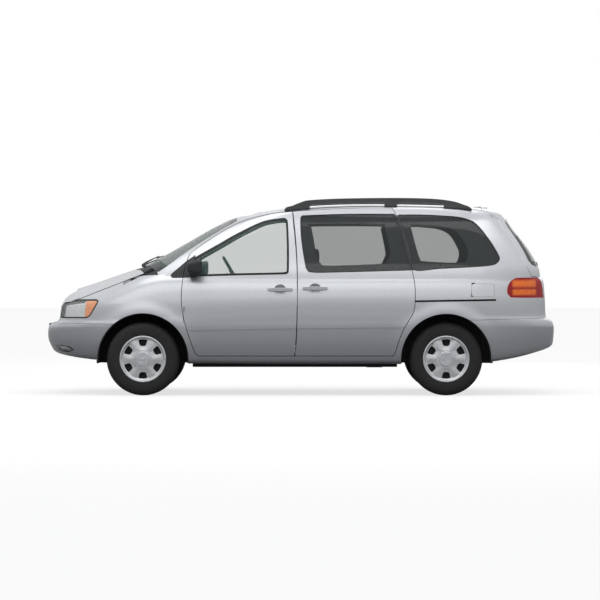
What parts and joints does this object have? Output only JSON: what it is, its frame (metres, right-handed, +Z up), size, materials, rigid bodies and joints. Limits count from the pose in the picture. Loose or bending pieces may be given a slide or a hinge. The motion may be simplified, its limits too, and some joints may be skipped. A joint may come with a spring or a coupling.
{
  "type": "minivan",
  "caption": "Family minivan with a short sloping hood, hinged front doors, sliding side doors, a liftgate, roof rails and covered wheels.",
  "frame": {"origin": "on the ground, under the middle of the length and width of the vehicle", "axes": "+Z up, the front of the vehicle towards -X, its left side towards -Y"},
  "size_m": [4.77, 2.156, 1.838],
  "materials": {
    "paint": "satin",
    "bumper_paint": "gloss",
    "black_plastic": "matte",
    "clear_glass": "gloss",
    "dark_glass": "gloss",
    "lamp_clear": "gloss",
    "lamp_red": "gloss",
    "tyre": "matte",
    "wheel_cover": "gloss",
    "trim_grey": "matte",
    "seat_cloth": "matte",
    "rail_grey": "satin",
    "cast_metal": "matte",
    "liner": "matte",
    "steel": "satin"
  },
  "bodies": {
    "body": {"body_side_left": "paint", "body_side_right": "paint", "roof_panel": "paint", "cowl": "black_plastic", "front_fender_left": "paint", "front_fender_right": "paint", "front_bumper": "bumper_paint", "rear_bumper": "bumper_paint", "sliding_door_left": "paint", "sliding_door_right": "paint", "grille": "black_plastic", "headlamps": "lamp_clear", "tail_lamps": "lamp_red", "windshield": "clear_glass", "sliding_door_glass": "dark_glass", "quarter_glass": "dark_glass", "door_hinge_posts": "steel", "hood_hinge_posts": "steel", "gate_hinge_posts": "steel", "front_suspension": "steel", "rear_beam": "steel", "wheel_housings": "liner", "floor_pan": "steel", "fuel_tank": "liner", "exhaust": "steel", "engine_block": "cast_metal", "dashboard": "trim_grey", "front_seats": "seat_cloth", "rear_seats": "seat_cloth", "fuel_pocket": "steel", "roof_rails": "rail_grey", "front_plate_bracket": "black_plastic"},
    "hood": {"hood": "paint", "hood_hinges": "steel"},
    "front_door_left": {"front_door_left": "paint", "front_door_glass_left": "clear_glass", "door_hinges_left": "steel", "mirror_left": "black_plastic"},
    "front_door_right": {"front_door_right": "paint", "front_door_glass_right": "clear_glass", "door_hinges_right": "steel", "mirror_right": "black_plastic"},
    "liftgate": {"liftgate": "paint", "liftgate_glass": "dark_glass", "gate_hinges": "steel", "rear_plate_bracket": "black_plastic"},
    "fuel_door": {"fuel_door": "paint", "fuel_hinge": "steel"},
    "knuckle_left": {"knuckle_left": "steel"},
    "knuckle_right": {"knuckle_right": "steel"},
    "wheel_front_left": {"tyre_front_left": "tyre", "rim_front_left": "wheel_cover"},
    "wheel_front_right": {"tyre_front_right": "tyre", "rim_front_right": "wheel_cover"},
    "wheel_rear_left": {"tyre_rear_left": "tyre", "rim_rear_left": "wheel_cover"},
    "wheel_rear_right": {"tyre_rear_right": "tyre", "rim_rear_right": "wheel_cover"},
    "steering_wheel": {"steering_wheel": "black_plastic"}
  },
  "joints": [
    {"name": "steer_left", "type": "hinge", "parent": "body", "child": "knuckle_left", "pos_m": [-1.457, -0.728, 0.34], "axis": [0, 0, 1], "range_deg": [-33, 33]},
    {"name": "steer_right", "type": "hinge", "parent": "body", "child": "knuckle_right", "pos_m": [-1.457, 0.728, 0.34], "axis": [0, 0, 1], "range_deg": [-33, 33]},
    {"name": "steering_wheel_turn", "type": "hinge", "parent": "body", "child": "steering_wheel", "pos_m": [-0.632, -0.37, 1.13], "axis": [0.866, 0, 0.5], "range_deg": [-495, 495]},
    {"name": "spin_front_left", "type": "hinge", "parent": "knuckle_left", "child": "wheel_front_left", "pos_m": [-1.457, -0.772, 0.34], "axis": [0, 1, 0], "continuous": true},
    {"name": "spin_front_right", "type": "hinge", "parent": "knuckle_right", "child": "wheel_front_right", "pos_m": [-1.457, 0.772, 0.34], "axis": [0, 1, 0], "continuous": true},
    {"name": "spin_rear_left", "type": "hinge", "parent": "body", "child": "wheel_rear_left", "pos_m": [1.355, -0.772, 0.34], "axis": [0, 1, 0], "continuous": true},
    {"name": "spin_rear_right", "type": "hinge", "parent": "body", "child": "wheel_rear_right", "pos_m": [1.355, 0.772, 0.34], "axis": [0, 1, 0], "continuous": true},
    {"name": "front_door_left_swing", "type": "hinge", "parent": "body", "child": "front_door_left", "pos_m": [-1.074, -0.913, 0.743], "axis": [0, 0, -1], "range_deg": [0, 65]},
    {"name": "front_door_right_swing", "type": "hinge", "parent": "body", "child": "front_door_right", "pos_m": [-1.074, 0.913, 0.743], "axis": [0, 0, 1], "range_deg": [0, 65]},
    {"name": "hood_lift", "type": "hinge", "parent": "body", "child": "hood", "pos_m": [-1.376, 0, 1.16], "axis": [0, 1, 0], "range_deg": [0, 50]},
    {"name": "liftgate_lift", "type": "hinge", "parent": "body", "child": "liftgate", "pos_m": [1.699, 0, 1.757], "axis": [0, -1, 0], "range_deg": [0, 80]},
    {"name": "fuel_door_swing", "type": "hinge", "parent": "body", "child": "fuel_door", "pos_m": [1.604, -0.889, 0.978], "axis": [0.0156, -0.2073, -0.9781], "range_deg": [0, 90]}
  ],
  "couplings": [
    {"joint": "steer_right", "follows": "steer_left", "ratio": 1},
    {"joint": "steering_wheel_turn", "follows": "steer_left", "ratio": 15}
  ]
}
